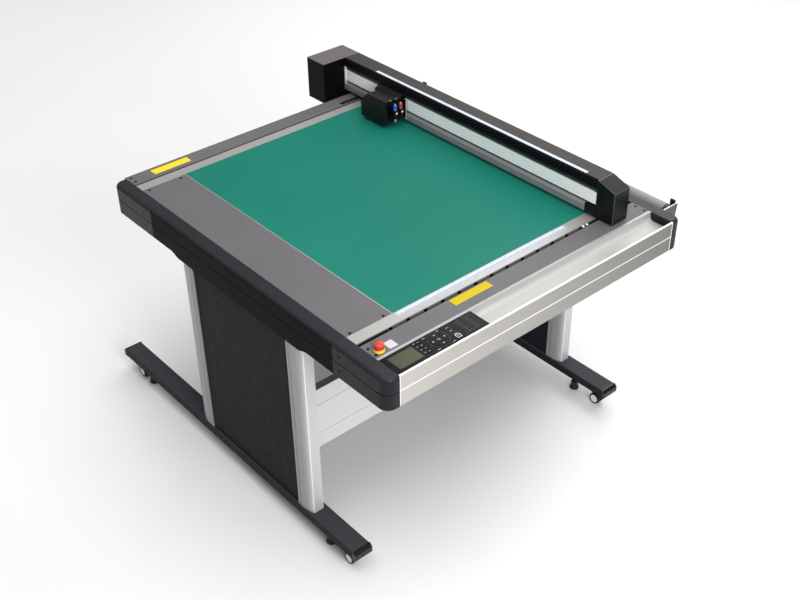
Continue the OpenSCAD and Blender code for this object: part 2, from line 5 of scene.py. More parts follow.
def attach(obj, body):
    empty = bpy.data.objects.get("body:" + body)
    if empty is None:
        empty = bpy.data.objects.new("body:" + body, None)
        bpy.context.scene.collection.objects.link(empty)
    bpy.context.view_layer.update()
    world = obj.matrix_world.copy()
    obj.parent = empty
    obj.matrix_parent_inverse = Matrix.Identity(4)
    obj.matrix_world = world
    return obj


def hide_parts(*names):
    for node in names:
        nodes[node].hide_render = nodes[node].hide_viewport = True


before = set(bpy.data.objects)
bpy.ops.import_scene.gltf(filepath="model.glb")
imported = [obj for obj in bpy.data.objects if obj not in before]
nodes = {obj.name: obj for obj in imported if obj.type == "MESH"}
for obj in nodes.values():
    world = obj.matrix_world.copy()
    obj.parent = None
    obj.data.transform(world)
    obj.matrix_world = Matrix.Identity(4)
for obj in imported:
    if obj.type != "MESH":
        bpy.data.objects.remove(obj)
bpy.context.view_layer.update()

# ---------------------------------------------------------------- frame
# Working coordinates are the drawing's: millimetres, x from the left side cover's inner edge,
# y from the mat's front edge, z from the floor. S turns them into the shared frame, in metres.
CX, CY = 566.0, 522.25
T = 828.0
TOP = 956.4          # gantry bar's top face
BX = 908.0           # gantry bar's left face


def S(x, y, z):
    return Vector(((x - CX) / 1000.0, (y - CY) / 1000.0, z / 1000.0))


# ---------------------------------------------------------------- materials
def lin(c):
    def f(v):
        v = v / 255.0
        return v / 12.92 if v <= 0.04045 else ((v + 0.055) / 1.055) ** 2.4
    return tuple(f(v) for v in c)


class Mat:
    """A small builder for node materials in object coordinates (metres)."""

    def __init__(self, name):
        self.m = bpy.data.materials.new(name)
        self.m.use_nodes = True
        self.t = self.m.node_tree
        self.n = self.t.nodes
        self.l = self.t.links
        self.b = self.n["Principled BSDF"]
        self.co = self.n.new("ShaderNodeTexCoord").outputs["Object"]

    def node(self, kind, **kw):
        x = self.n.new(kind)
        for k, v in kw.items():
            setattr(x, k, v)
        return x

    def scaled(self, sc, rot=(0, 0, 0)):
        mp = self.node("ShaderNodeMapping")
        mp.inputs["Scale"].default_value = sc
        mp.inputs["Rotation"].default_value = rot
        self.l.new(self.co, mp.inputs["Vector"])
        return mp.outputs["Vector"]

    def noise(self, scale, detail=3.0, rough=0.5, vec=None):
        x = self.node("ShaderNodeTexNoise")
        x.inputs["Scale"].default_value = scale
        x.inputs["Detail"].default_value = detail
        x.inputs["Roughness"].default_value = rough
        self.l.new(vec if vec is not None else self.co, x.inputs["Vector"])
        return x.outputs["Fac"]

    def voronoi(self, scale, feature="F1", vec=None):
        x = self.node("ShaderNodeTexVoronoi", feature=feature)
        x.inputs["Scale"].default_value = scale
        self.l.new(vec if vec is not None else self.co, x.inputs["Vector"])
        return x.outputs["Distance"]

    def rng(self, src, a, b, lo=0.0, hi=1.0, clamp=True):
        x = self.node("ShaderNodeMapRange")
        x.clamp = clamp
        x.inputs["From Min"].default_value = lo
        x.inputs["From Max"].default_value = hi
        x.inputs["To Min"].default_value = a
        x.inputs["To Max"].default_value = b
        self.l.new(src, x.inputs["Value"])
        return x.outputs["Result"]

    def mix(self, fac, c1, c2):
        x = self.node("ShaderNodeMix", data_type="RGBA")
        for sock, v in ((x.inputs["Factor"], fac), (x.inputs[6], c1), (x.inputs[7], c2)):
            if hasattr(v, "is_output"):
                self.l.new(v, sock)
            elif isinstance(v, (int, float)):
                sock.default_value = v
            else:
                sock.default_value = (*v, 1.0)
        return x.outputs[2]

    def math(self, op, a, b=None, clamp=False):
        x = self.node("ShaderNodeMath", operation=op)
        x.use_clamp = clamp
        for i, v in enumerate((a, b)):
            if v is None:
                continue
            if hasattr(v, "is_output"):
                self.l.new(v, x.inputs[i])
            else:
                x.inputs[i].default_value = v
        return x.outputs[0]

    def xyz(self):
        x = self.node("ShaderNodeSeparateXYZ")
        self.l.new(self.co, x.inputs[0])
        return x.outputs[0], x.outputs[1], x.outputs[2]

    def colour(self, c):
        if hasattr(c, "is_output"):
            self.l.new(c, self.b.inputs["Base Color"])
        else:
            self.b.inputs["Base Color"].default_value = (*c, 1.0)
        return self

    def rough(self, r):
        if hasattr(r, "is_output"):
            self.l.new(r, self.b.inputs["Roughness"])
        else:
            self.b.inputs["Roughness"].default_value = r
        return self

    def bump(self, h, dist, strength=1.0):
        x = self.node("ShaderNodeBump")
        x.inputs["Strength"].default_value = strength
        x.inputs["Distance"].default_value = dist
        self.l.new(h, x.inputs["Height"])
        self.l.new(x.outputs["Normal"], self.b.inputs["Normal"])
        return self

    def set(self, **kw):
        for k, v in kw.items():
            self.b.inputs[k.replace("_", " ")].default_value = v
        return self


def moulded(name, rgb, rough=0.5, grain=900.0, depth=0.00006, vary=0.10, spec=0.5):
    """Moulded plastic: leather-fine grain, slight mottling."""
    k = Mat(name)
    c = lin(rgb)
    big = k.noise(6.0, 2.0)
    fine = k.noise(grain, 2.0)
    m = k.math("MULTIPLY", big, 0.6)
    m = k.math("ADD", m, k.math("MULTIPLY", fine, 0.4))
    k.colour(k.mix(k.rng(m, 0, 1, 0.3, 0.7), tuple(v * (1 - vary) for v in c), tuple(v * (1 + vary) for v in c)))
    k.rough(k.rng(fine, rough - 0.06, rough + 0.08, 0.3, 0.7))
    k.bump(k.voronoi(grain), depth)
    k.set(Specular_IOR_Level=spec)
    return k.m


def painted(name, rgb, rough=0.42, fleck=0.0, depth=0.00002, spec=0.5):
    """Powder-coated or painted sheet: orange peel and a fine fleck."""
    k = Mat(name)
    c = lin(rgb)
    f = k.noise(2600.0, 1.0)
    big = k.noise(2.2, 2.0)
    base = k.mix(k.rng(big, 0, 1, 0.35, 0.65), tuple(v * 0.95 for v in c), tuple(v * 1.05 for v in c))
    if fleck:
        base = k.mix(k.rng(f, 0, fleck, 0.52, 0.72), base, tuple(min(1, v * 2.2) for v in c))
    k.colour(base)
    k.rough(k.rng(k.noise(40.0, 3.0), rough - 0.05, rough + 0.05, 0.3, 0.7))
    k.bump(k.noise(700.0, 2.0), depth)
    k.set(Specular_IOR_Level=spec)
    return k.m


def extruded(name, rgb, along, rough=0.33, streak=0.08, metallic=1.0, spec=0.5):
    """Anodised extrusion: die lines along its length (0 = x, 1 = y, 2 = z)."""
    k = Mat(name)
    c = lin(rgb)
    sc = [420.0, 420.0, 420.0]
    sc[along] = 1.2
    v = k.scaled(tuple(sc))
    lines = k.noise(1.0, 4.0, 0.6, v)
    sc2 = [60.0, 60.0, 60.0]
    sc2[along] = 0.5
    wide = k.noise(1.0, 2.0, 0.5, k.scaled(tuple(sc2)))
    m = k.math("ADD", k.math("MULTIPLY", lines, 0.6), k.math("MULTIPLY", wide, 0.4))
    k.colour(k.mix(k.rng(m, 0, 1, 0.3, 0.7), tuple(x * (1 - streak) for x in c), tuple(min(1, x * (1 + streak)) for x in c)))
    k.rough(k.rng(lines, rough - 0.07, rough + 0.07, 0.3, 0.7))
    k.bump(lines, 0.00002)
    k.set(Metallic=metallic, Specular_IOR_Level=spec)
    return k.m


def glossy(name, rgb, rough=0.18, coat=0.0, spec=0.5):
    k = Mat(name)
    c = lin(rgb)
    n1 = k.noise(14.0, 3.0)
    k.colour(k.mix(k.rng(n1, 0, 1, 0.3, 0.7), tuple(v * 0.94 for v in c), tuple(min(1, v * 1.06) for v in c)))
    k.rough(k.rng(k.noise(220.0, 3.0), rough - 0.03, rough + 0.05, 0.3, 0.7))
    k.bump(k.noise(1200.0, 2.0), 0.000008)
    k.set(Coat_Weight=coat, Specular_IOR_Level=spec)
    return k.m


def printed(name, rgb, rough=0.5, spec=0.35):
    """Ink, paper or vinyl label."""
    k = Mat(name)
    c = lin(rgb)
    n1 = k.noise(500.0, 3.0)
    k.colour(k.mix(k.rng(n1, 0, 1, 0.3, 0.7), tuple(v * 0.96 for v in c), tuple(min(1, v * 1.03) for v in c)))
    k.rough(k.rng(n1, rough - 0.05, rough + 0.05, 0.3, 0.7))
    k.bump(n1, 0.000006)
    k.set(Specular_IOR_Level=spec)
    return k.m


def masked(k, colour_out, axis, limit, rgb, below=True):
    """Second colour on one side of a plane, for two finishes on one solid or for painted shade. limit is in drawing
    millimetres.
    """
    x, y, z = k.xyz()
    v = (x, y, z)[axis]
    lim = (limit - (CX, CY, 0.0)[axis]) / 1000.0
    m = k.math("LESS_THAN" if below else "GREATER_THAN", v, lim)
    return k.mix(m, colour_out, lin(rgb))


def base_of(k):
    return k.b.inputs["Base Color"].links[0].from_socket


M = {
    "charcoal": moulded("charcoal_moulding", (44, 44, 47), 0.42, spec=0.02),
    "charcoal2": moulded("cap_moulding", (42, 42, 46), 0.3, grain=1100.0, spec=0.11),
    "graphite": painted("graphite_powder_coat", (28, 29, 33), 0.5, depth=0.00003, spec=0.05),
    "foot": painted("foot_powder_coat", (58, 57, 62), 0.4, depth=0.00003, spec=0.03),
    "plate": painted("grey_plate_paint", (95, 93, 95), 0.5, fleck=0.10, spec=0.15),
    "pan": painted("pan_paint", (70, 70, 72), 0.5),
    "alu_x": extruded("anodised_along_x", (170, 169, 166), 0, 0.45, 0.05, 0.6),
    "alu_front": extruded("front_extrusion_anodised", (184, 184, 182), 0, 0.6, 0.012, 0.55),
    "alu_beam": extruded("cross_beam_anodised", (205, 204, 206), 0, 0.42, 0.035, 0.25),
    "alu_y": extruded("anodised_along_y", (134, 132, 136), 1, 0.50, 0.05, 0.2),
    "alu_z": extruded("anodised_along_z", (184, 184, 186), 2, 0.36, 0.09, 0.25),
    "bright": extruded("bright_trim", (246, 246, 244), 0, 0.30, 0.02, 0.5),
    "bronze_y": extruded("dark_anodised_along_y", (98, 90, 88), 1, 0.42, 0.08, 0.7),
    "top_cover": extruded("top_cover_anodised", (64, 60, 59), 1, 0.5, 0.08, 0.0, 0.07),
    "bracket": painted("bracket_paint", (78, 62, 52), 0.42),
    "rail": extruded("pale_rail_anodised", (246, 248, 248), 1, 0.40, 0.03, 0.05),
    "black": moulded("black_moulding", (18, 18, 20), 0.42, grain=1300.0, depth=0.00004, spec=0.2),
    "blacksheet": painted("black_sheet", (20, 21, 23), 0.42, spec=0.15),
    "coverblack": glossy("cover_black", (19, 20, 22), 0.24, 0.0, 0.14),
    "rearbox": painted("rear_box_black", (10, 10, 11), 0.4, spec=0.04),
    "blackgloss": glossy("panel_gloss", (9, 9, 9), 0.24, 0.0, 0.08),
    "key": moulded("key_moulding", (13, 13, 14), 0.36, grain=2200.0, depth=0.00002, spec=0.12),
    "steel": extruded("machined_steel", (196, 196, 198), 2, 0.28, 0.05, 0.9),
    "plate_steel": extruded("carriage_plate_steel", (206, 206, 200), 2, 0.32, 0.05, 0.7),
    "darksteel": painted("blackened_steel", (12, 12, 13), 0.34, spec=0.1),
    "nutsteel": painted("plated_nut", (34, 34, 37), 0.34, spec=0.3),
    "capgloss": glossy("end_cap_gloss", (16, 16, 18), 0.22, 0.0, 0.35),
    "deepblack": painted("deep_black", (7, 7, 8), 0.5, spec=0.03),
    "label_rear": printed("yellow_label_rear", (226, 198, 44), 0.45, 0.15),
    "red": glossy("red_moulding", (178, 56, 50), 0.38, 0.0, 0.35),
    "yellow": moulded("yellow_moulding", (236, 200, 30), 0.4, grain=1500.0, depth=0.00002),
    "blue": glossy("blue_moulding", (20, 88, 214), 0.26, 0.15),
    "white": moulded("white_moulding", (226, 226, 224), 0.42, grain=1500.0, depth=0.00002),
    "tyre": moulded("tyre_rubber", (22, 22, 23), 0.6, grain=1800.0, depth=0.00005, spec=0.3),
    "rubber": moulded("foot_rubber", (20, 20, 21), 0.5, grain=1500.0, depth=0.00005, spec=0.35),
    "pipe": painted("pipe_paint", (122, 121, 118), 0.45),
    "label_yellow": printed("yellow_label", (184, 165, 6), 0.45, 0.1),
    "label_white": printed("white_label", (184, 183, 185), 0.5, 0.15),
    "scale_white": printed("scale_tape", (192, 198, 212), 0.45, 0.15),
    "ink": printed("grey_ink", (196, 198, 202), 0.5),
    "ink_soft": printed("dim_grey_ink", (92, 94, 98), 0.5, 0.1),
    "ink_blue": printed("blue_grey_ink", (70, 80, 122), 0.5),
    "ink_key": printed("pale_blue_ink", (226, 229, 236), 0.45),
    "ink_dark": printed("dark_ink", (40, 42, 48), 0.5),
}
# two finishes on one solid, and painted shade on the cross beam's top
def remask(name, axis, limit, rgb, below=True):
    k = Mat.__new__(Mat)
    k.m = M[name]
    k.t = k.m.node_tree
    k.n, k.l = k.t.nodes, k.t.links
    k.b = k.n["Principled BSDF"]
    k.co = k.n.new("ShaderNodeTexCoord").outputs["Object"]
    src = base_of(k)
    k.l.new(masked(k, src, axis, limit, rgb, below), k.b.inputs["Base Color"])


remask("top_cover", 0, BX + 4.9, (14, 16, 17))            # black front flange of the top cover
remask("rearbox", 2, TOP - 0.4, (100, 95, 96), False)      # its top matches the bar
remask("alu_beam", 2, 465.4, (128, 121, 117), False)       # painted shade: darker top of the cross beam, which lies in the bed's shadow
remask("plate_steel", 1, 793.6, (18, 18, 20), False)        # the carriage plate is black but for its bright front edge
remask("pipe", 1, -116.6, (16, 16, 17))                    # black plugs in the ends of the roll bar
remask("pipe", 1, 983.1, (16, 16, 17), False)
remask("bracket", 2, T - 9.3, (214, 212, 208), False)      # bare upper edge of the roll bracket


def paint_fascia_shade():
    """Painted shade: the vertical front face is coloured darker towards its right end. The top of the front lip is near
    white, and the top faces behind the tray a little darker.
    """
    k = Mat.__new__(Mat)
    k.m = M["alu_front"]
    k.t = k.m.node_tree
    k.n, k.l = k.t.nodes, k.t.links
    k.b = k.n["Principled BSDF"]
    k.co = k.n.new("ShaderNodeTexCoord").outputs["Object"]
    src = base_of(k)
    x, y, z = k.xyz()
    front = k.math("LESS_THAN", y, (-203.0 - CY) / 1000.0)
    # painted shade: the front face darkens towards its right end
    t = k.rng(x, 0.0, 1.0, (0 - CX) / 1000.0, (1062 - CX) / 1000.0)
    dark = k.mix(t, lin((176, 173, 168)), lin((118, 117, 113)))
    body = k.mix(front, src, dark)
    lip = k.math("MULTIPLY", k.math("GREATER_THAN", z, (T - 0.5) / 1000.0), k.math("LESS_THAN", y, (-198.0 - CY) / 1000.0))
    inner = k.math("MULTIPLY", k.math("GREATER_THAN", z, (T - 0.5) / 1000.0), k.math("GREATER_THAN", y, (-130.0 - CY) / 1000.0))
    body = k.mix(inner, body, lin((168, 167, 166)))
    k.l.new(k.mix(lip, body, lin((240, 240, 239))), k.b.inputs["Base Color"])


paint_fascia_shade()


def paint_side_shade(name, z0, z1, rgb):
    """Painted shade: the upright faces of a moulding are coloured a shade darker than its top, with a soft change round
    the edge.
    """
    k = Mat.__new__(Mat)
    k.m = M[name]
    k.t = k.m.node_tree
    k.n, k.l = k.t.nodes, k.t.links
    k.b = k.n["Principled BSDF"]
    k.co = k.n.new("ShaderNodeTexCoord").outputs["Object"]
    src = base_of(k)
    x, y, z = k.xyz()
    k.l.new(k.mix(k.rng(z, 0.0, 1.0, z0 / 1000.0, z1 / 1000.0), lin(rgb), src), k.b.inputs["Base Color"])


# painted shade on the upright faces of the side panels, corner caps and feet
paint_side_shade("charcoal", T - 10.0, T - 1.5, (19, 19, 22))
paint_side_shade("charcoal2", T - 10.0, T - 1.5, (28, 28, 32))
paint_side_shade("foot", 89.5, 91.7, (36, 36, 39))


def paint_post_shade_and_highlight():
    """Extruded post: painted shade makes the flanks duller than the bright nose, and a fine painted highlight line runs
    lengthwise between them.
    """
    k = Mat.__new__(Mat)
    k.m = M["alu_z"]
    k.t = k.m.node_tree
    k.n, k.l = k.t.nodes, k.t.links
    k.b = k.n["Principled BSDF"]
    k.co = k.n.new("ShaderNodeTexCoord").outputs["Object"]
    src = base_of(k)
    x, y, z = k.xyz()
    u = k.math("ABSOLUTE", k.math("SUBTRACT", k.math("ABSOLUTE", k.math("SUBTRACT", x, (531.0 - CX) / 1000.0)), 0.543))
    # painted shade on the flanks, and a painted highlight line along the edge of the nose
    flank = k.rng(u, 0.0, 1.0, 0.019, 0.0262)
    c = k.mix(flank, src, lin((146, 146, 150)))
    line = k.rng(k.math("ABSOLUTE", k.math("SUBTRACT", u, 0.0168)), 1.0, 0.0, 0.0004, 0.0012)
    k.l.new(k.mix(line, c, lin((235, 235, 236))), k.b.inputs["Base Color"])


paint_post_shade_and_highlight()


def line_rail():
    """Pale running face, with the thin edge above it; the deeper faces of the grooves above it and the gap under it are
    painted near black as shade.
    """
    k = Mat.__new__(Mat)
    k.m = M["rail"]
    k.t = k.m.node_tree
    k.n, k.l = k.t.nodes, k.t.links
    k.b = k.n["Principled BSDF"]
    k.co = k.n.new("ShaderNodeTexCoord").outputs["Object"]
    src = base_of(k)
    x, y, z = k.xyz()
    # painted shade: the deeper groove faces and the part below the running face are coloured near black
    above = k.math("GREATER_THAN", z, (T + 84.15) / 1000.0)
    below = k.math("LESS_THAN", z, (T + 45.85) / 1000.0)
    deep = k.math("GREATER_THAN", x, (BX + 4.5 - CX) / 1000.0)
    edge = k.mix(deep, lin((84, 90, 90)), lin((10, 13, 13)))
    c = k.mix(above, src, edge)
    k.l.new(k.mix(below, c, lin((12, 15, 15))), k.b.inputs["Base Color"])


line_rail()


def mat_green():
    k = Mat("cutting_mat_vinyl")
    a, b = lin((20, 106, 91)), lin((26, 115, 100))
    big = k.noise(1.6, 3.0)
    fine = k.noise(1800.0, 2.0)
    m = k.math("ADD", k.math("MULTIPLY", big, 0.75), k.math("MULTIPLY", fine, 0.25))
    k.colour(k.mix(k.rng(m, 0, 1, 0.3, 0.7), a, b))
    k.rough(k.rng(k.noise(9.0, 4.0), 0.485, 0.505, 0.3, 0.7))
    k.bump(k.noise(1400.0, 3.0), 0.00002)
    k.set(Specular_IOR_Level=0.08)
    return k.m


def mat_lcd():
    k = Mat("display_glass")
    x, y, z = k.xyz()
    # fine dot grid behind the window
    gx = k.math("PINGPONG", k.math("MULTIPLY", x, 1000.0), 0.5)
    gy = k.math("PINGPONG", k.math("MULTIPLY", y, 1000.0), 0.5)
    g = k.math("MULTIPLY", gx, gy)
    k.colour(k.mix(k.rng(g, 0, 1, 0.0, 0.25), lin((50, 50, 26)), lin((58, 57, 31))))
    k.rough(k.rng(k.noise(60.0), 0.14, 0.20, 0.3, 0.7))
    k.set(Coat_Weight=0.05, Specular_IOR_Level=0.2)
    return k.m


M["mat"] = mat_green()
M["lcd"] = mat_lcd()


# ---------------------------------------------------------------- mesh helpers
def add(name, bm, mat, body, bevel=0.0, seg=2, angle=35.0, replaces=()):
    bmesh.ops.remove_doubles(bm, verts=bm.verts, dist=1e-7)
    bmesh.ops.recalc_face_normals(bm, faces=bm.faces)
    for f in bm.faces:
        f.smooth = True
    for e in bm.edges:
        if len(e.link_faces) == 2 and e.calc_face_angle(0.0) > math.radians(angle):
            e.smooth = False
    me = bpy.data.meshes.new(name)
    bm.to_mesh(me)
    bm.free()
    me.materials.append(M[mat] if isinstance(mat, str) else mat)
    o = bpy.data.objects.new(name, me)
    bpy.context.collection.objects.link(o)
    if bevel:
        b = o.modifiers.new("edge", "BEVEL")
        b.width = bevel / 1000.0
        b.segments = seg
        b.limit_method = "ANGLE"
        b.angle_limit = math.radians(angle)
        b.harden_normals = True
    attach(o, body)
    if replaces:
        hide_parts(*replaces)
    return o


def bm_prism(bm, pts, place):
    """Closed prism: pts is a list of 2D points, place(u, v, end) gives the 3D point at end 0 and 1."""
    a = [bm.verts.new(place(u, v, 0)) for u, v in pts]
    b = [bm.verts.new(place(u, v, 1)) for u, v in pts]
    n = len(pts)
    bm.faces.new(a)
    bm.faces.new(b[::-1])
    for i in range(n):
        j = (i + 1) % n
        bm.faces.new((a[j], a[i], b[i], b[j]))
    return bm


def bm_box(bm, a, b):
    x0, y0, z0 = a
    x1, y1, z1 = b
    return bm_prism(bm, [(x0, y0), (x1, y0), (x1, y1), (x0, y1)], lambda u, v, e: S(u, v, z1 if e else z0))


def rr(cx, cy, w, h, r, n=6):
    """Rounded rectangle outline."""
    pts = []
    for qx, qy, a0 in ((1, 1, 0), (-1, 1, 90), (-1, -1, 180), (1, -1, 270)):
        for i in range(n + 1):
            a = math.radians(a0 + 90.0 * i / n)
            pts.append((cx + qx * (w / 2 - r) + r * math.cos(a), cy + qy * (h / 2 - r) + r * math.sin(a)))
    return pts


def along_x(bm, pts, x0, x1):
    return bm_prism(bm, pts, lambda u, v, e: S(x1 if e else x0, u, v))


def along_y(bm, pts, y0, y1):
    return bm_prism(bm, pts, lambda u, v, e: S(u, y1 if e else y0, v))


def along_z(bm, pts, z0, z1):
    return bm_prism(bm, pts, lambda u, v, e: S(u, v, z1 if e else z0))


def bm_lathe(bm, profile, origin, axis="z", seg=64):
    """Closed surface of revolution. profile is (radius, height) from one axis point to the other."""
    ox, oy, oz = origin
    rings = []
    for r, h in profile:
        ring = []
        if r < 1e-9:
            p = {"z": (ox, oy, oz + h), "x": (ox + h, oy, oz), "y": (ox, oy + h, oz)}[axis]
            ring = [bm.verts.new(S(*p))]
        else:
            for i in range(seg):
                a = 2 * math.pi * i / seg
                c, s = r * math.cos(a), r * math.sin(a)
                p = {"z": (ox + c, oy + s, oz + h), "x": (ox + h, oy + c, oz + s), "y": (ox + c, oy + h, oz + s)}[axis]
                ring.append(bm.verts.new(S(*p)))
        rings.append(ring)
    for ra, rb in zip(rings[:-1], rings[1:]):
        if len(ra) == 1 and len(rb) == 1:
            continue
        if len(ra) == 1:
            for i in range(seg):
                bm.faces.new((ra[0], rb[i], rb[(i + 1) % seg]))
        elif len(rb) == 1:
            for i in range(seg):
                bm.faces.new((ra[(i + 1) % seg], ra[i], rb[0]))
        else:
            for i in range(seg):
                j = (i + 1) % seg
                bm.faces.new((ra[i], rb[i], rb[j], ra[j]))
    return bm


# ---------------------------------------------------------------- CAD nodes: materials and soft edges
LOOK = {
    "foot_left": ("foot", 1.0), "foot_right": ("foot", 1.0), "foot_end_caps": ("capgloss", 1.0),
    "leg_posts": ("alu_z", 0.4), "leg_panels": ("graphite", 0.8), "crossbar": ("alu_beam", 0.5),
    "bed_body": ("pan", 0.8), "cutting_mat": ("mat", 0.5), "platform_plates": ("plate", 0.3),
    "front_plate": ("plate", 0.4), "rear_plate": ("plate", 0.4), "edge_strips": ("alu_x", 0.15),
    "front_extrusion": ("alu_front", 0.4), "rear_extrusion": ("pan", 0.5), "side_panels": ("charcoal", 0.5),
    "corner_caps": ("charcoal2", 0.5), "control_panel": ("blackgloss", 0.3), "lcd_window": ("lcd", 0.2),
    "estop_collar": ("yellow", 0.3), "estop_stem": ("steel", 0.2), "estop_head": ("red", 0.8),
    "screws": ("darksteel", 0.3), "roll_brackets": ("bracket", 0.4), "roll_saddles": ("black", 0.6),
    "roll_pipe": ("pipe", 0.5), "gantry_beam": ("alu_y", 0.4), "gantry_top_cover": ("top_cover", 0.3),
    "gantry_rail": ("rail", 0.2), "gantry_cover_rear": ("rearbox", 1.0), "gantry_cover_front": ("coverblack", 1.0),
    "gantry_arms": ("blacksheet", 0.4), "carriage_plate": ("plate_steel", 0.4), "carriage_cover": ("black", 1.0),
    "tool_holder_a": ("black", 0.4), "tool_holder_b": ("black", 0.4), "tool_knob_a": ("blue", 0.3),
    "tool_knob_b": ("red", 0.3), "cutter_a": ("steel", 0.2),
}
for n, o in nodes.items():
    if n in LOOK:
        m, bev = LOOK[n]
    elif n.startswith("key_"):
        m, bev = "key", 0.35
    elif n.startswith("caster"):
        m, bev = "black", 0.6
    elif n.startswith("wheels"):
        m, bev = "tyre", 1.2
    elif n.startswith("leveller"):
        m, bev = "rubber", 0.5
    else:
        m, bev = "black", 0.3
    o.data.materials.clear()
    o.data.materials.append(M[m])
    if bev:
        b = o.modifiers.new("edge", "BEVEL")
        b.width = bev / 1000.0
        b.segments = 2
        b.limit_method = "ANGLE"
        b.angle_limit = math.radians(40)
        b.use_clamp_overlap = True
        b.harden_normals = True

# ---------------------------------------------------------------- details
def plate(name, x0, x1, y0, y1, z, mat, body, h=0.12, r=1.0):
    """Thin rounded label or plate lying on a horizontal face at height z."""
    bm = bmesh.new()
    along_z(bm, rr((x0 + x1) / 2, (y0 + y1) / 2, x1 - x0, y1 - y0, r, 4), z, z + h)
    return add(name, bm, mat, body, bevel=h * 0.35, seg=1)


# blank labels and plates
plate("label_front", 304, 442, -86, -57, T, "label_yellow", "base", 0.15, 1.5)
plate("label_rear", 84, 218, 1063, 1094, T, "label_rear", "base", 0.15, 1.5)
plate("label_stop", 53, 80, -111, -81, T, "label_white", "base", 0.15, 1.5)
plate("name_plate_blank", 831, 947, 1052, 1068, T, "black", "base", 0.6, 2.0)


# ruler tape with ticks and figures on the front edge strip
ZR = T + 0.2
plate("ruler_tape", 161, 809, -21, -3, ZR, "scale_white", "base", 0.06, 0.8)
bm = bmesh.new()
for i in range(0, 641):
    L = 9.0 if i % 10 == 0 else (6.4 if i % 5 == 0 else 3.6)
    x = 165.0 + i
    hw = 0.75 if i % 10 == 0 else (0.45 if i % 5 == 0 else 0.14)
    bm_box(bm, (x - hw, -20.2, ZR + 0.05), (x + hw, -20.2 + L, ZR + 0.09))
add("ruler_ticks", bm, "ink_blue", "base")


def figures(name, items, size, z, mat, body, rot=0.0):
    """Numbers of a scale, as solid figures lying flat."""
    out = bmesh.new()
    for text, x, y in items:
        cu = bpy.data.curves.new(name + "_t", "FONT")
        cu.body = text
        cu.size = size / 1000.0
        cu.align_x = "CENTER"
        cu.align_y = "CENTER"
        cu.extrude = 0.00002
        cu.resolution_u = 3
        ob = bpy.data.objects.new(name + "_t", cu)
        bpy.context.collection.objects.link(ob)
        me = bpy.data.meshes.new_from_object(ob)
        me.transform(Matrix.Translation(S(x, y, z)) @ Matrix.Rotation(rot, 4, "Z"))
        out.from_mesh(me)
        bpy.data.objects.remove(ob)
        bpy.data.curves.remove(cu)
        bpy.data.meshes.remove(me)
    return add(name, out, mat, body)


figures("ruler_figures", [(str(i * 5), 165.0 + i * 50, -7.4) for i in range(0, 13)], 6.0, ZR + 0.08, "ink_blue", "base")

# white scale let into the gantry's top, with the cover's own finish beyond its ends
bm = bmesh.new()
along_y(bm, [(BX + 7.05, TOP - 0.58), (BX + 18.95, TOP - 0.58), (BX + 18.95, TOP - 0.04), (BX + 7.05, TOP - 0.04)], 13, 966)
add("bar_scale", bm, "scale_white", "gantry", bevel=0.08, seg=1)
bm = bmesh.new()
for a, b in ((-37.9, 12.9), (966.1, 1127.9)):
    along_y(bm, [(BX + 7.02, TOP - 0.58), (BX + 18.98, TOP - 0.58), (BX + 18.98, TOP - 0.02), (BX + 7.02, TOP - 0.02)], a, b)
add("bar_scale_ends", bm, "top_cover", "gantry", bevel=0.08, seg=1)
bm = bmesh.new()
for i in range(0, 951):
    L = 4.6 if i % 10 == 0 else (3.2 if i % 5 == 0 else 1.8)
    y = 14.5 + i
    hw = 0.16 if i % 10 == 0 else 0.10
    bm_box(bm, (BX + 7.6, y - hw, TOP - 0.045), (BX + 7.6 + L, y + hw, TOP - 0.01))
add("bar_scale_ticks", bm, "ink_soft", "gantry")

# front slot: inner wall with its row of dark clips, and a near-black block painted in as the shade inside the slot's
# open end
bm = bmesh.new()
along_x(bm, [(-40.7, T - 40), (-40.05, T - 40), (-40.05, T - 2.4), (-40.7, T - 2.4)], 104, 1060)
add("slot_wall", bm, "plate", "base")
bm = bmesh.new()
for i in range(0, 16):
    x = 108.0 + 61.0 * i
    along_y(bm, rr(x + 5.5, T - 6.6, 11.0, 10.0, 1.8, 3), -43.0, -40.6)
add("slot_clips", bm, "deepblack", "base", bevel=0.25)
bm = bmesh.new()
along_z(bm, rr(52, -46.5, 100, 12.6, 1.0, 3), T - 20, T - 5.0)
add("slot_end_painted_shade", bm, "deepblack", "base", bevel=0.4)
bm = bmesh.new()
for x in (850.0, 866.0):
    bm_lathe(bm, [(0, 0), (3.6, 0), (4.2, 0.6), (4.2, 2.2), (3.6, 2.8), (1.4, 2.8), (1.2, 2.4), (0, 2.4)], (x, -46.5, T - 1.0), "z", 32)
add("arm_pads", bm, "white", "gantry", bevel=0.15)

# bright bead in the fascia's groove, and its end trim
bm = bmesh.new()
pts = [(-206.0 - 1.95 * math.sin(a), T - 50 + 1.75 * math.cos(a)) for a in [math.pi * i / 10 for i in range(11)]]
along_x(bm, pts, 0.2, 1061.8)
along_x(bm, [(-206.5 - 1.4 * math.sin(a), T - 1.6 + 1.5 * math.cos(a)) for a in [math.pi * i / 8 for i in range(9)]], 0.2, 1061.8)
add("fascia_bead", bm, "bright", "base")
bm = bmesh.new()
along_x(bm, [(-207.8, T - 97.5), (-206.8, T - 97.5), (-206.8, T - 0.3), (-207.8, T - 0.3)], 0.1, 2.2)
along_x(bm, [(-207.8, T - 97.5), (-206.8, T - 97.5), (-206.8, T - 0.3), (-207.8, T - 0.3)], 1059.8, 1061.9)
add("fascia_end_trim", bm, "bright", "base", bevel=0.25)

# light end plate where the rail meets the rear cover
bm = bmesh.new()
along_y(bm, [(BX - 2.5, T + 24), (BX + 7.5, T + 24), (BX + 7.5, T + 98), (BX + 0.4, T + 98), (BX - 2.5, T + 92)], 1122.6, 1127.8)
add("rail_end_plate", bm, "plate_steel_light" if "plate_steel_light" in M else "bright", "gantry", bevel=0.3)

